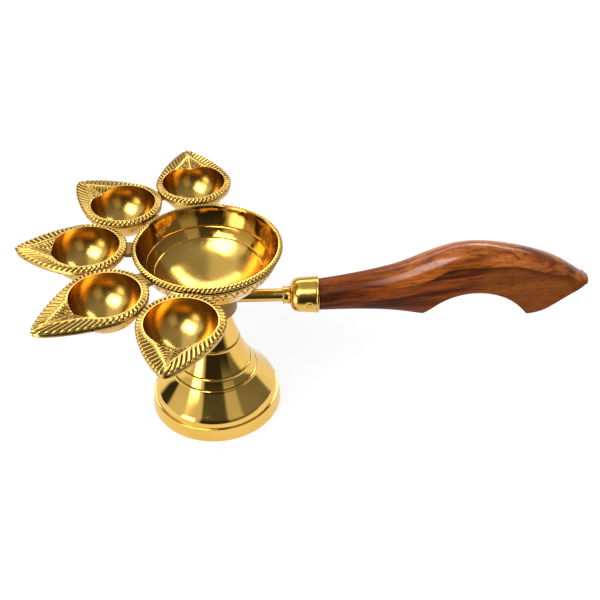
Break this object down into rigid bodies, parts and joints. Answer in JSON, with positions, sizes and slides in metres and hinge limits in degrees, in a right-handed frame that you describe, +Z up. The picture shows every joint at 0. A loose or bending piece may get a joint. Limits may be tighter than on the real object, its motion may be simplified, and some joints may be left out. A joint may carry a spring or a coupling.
{
  "type": "aarti lamp",
  "caption": "Hand lamp for ritual offering: a round brass bowl with leaf-shaped wick cups fanned beside it, on a bell-shaped foot, with a carved wooden grip on a brass rod.",
  "frame": {"origin": "on the table, at the centre of the ring that the foot stands on", "axes": "+X along the handle, away from the bowl; +Z up, along the axis of the bowl and the foot"},
  "size_m": [0.2796, 0.1802, 0.0998],
  "materials": {
    "bowl_brass": "polished, with a cast rope rim and an engraved band",
    "leaf_brass": "satin-turned cups with chased rope borders",
    "web_brass": "brazed and filed",
    "foot_brass": "mirror polished on the lathe",
    "rod_brass": "polished",
    "ferrule_brass": "satin polished",
    "pin_brass": "filed flush",
    "screw_steel": "zinc plated",
    "grip_wood": "oiled reddish-brown hardwood with dark streaks"
  },
  "bodies": {
    "root": {"bowl": "bowl_brass", "hub": "foot_brass", "foot": "foot_brass", "foot_washer": "screw_steel", "foot_screw": "screw_steel", "handle_rod": "rod_brass", "rod_collar": "rod_brass", "ferrule": "ferrule_brass", "ferrule_pins": "pin_brass", "wooden_handle": "grip_wood", "leaf_cup_1": "leaf_brass", "bowl_web_1": "web_brass", "leaf_cup_2": "leaf_brass", "bowl_web_2": "web_brass", "leaf_cup_3": "leaf_brass", "bowl_web_3": "web_brass", "leaf_cup_4": "leaf_brass", "bowl_web_4": "web_brass", "leaf_cup_5": "leaf_brass", "bowl_web_5": "web_brass", "side_web_1": "web_brass", "side_web_2": "web_brass", "side_web_3": "web_brass", "side_web_4": "web_brass"}
  },
  "joints": []
}
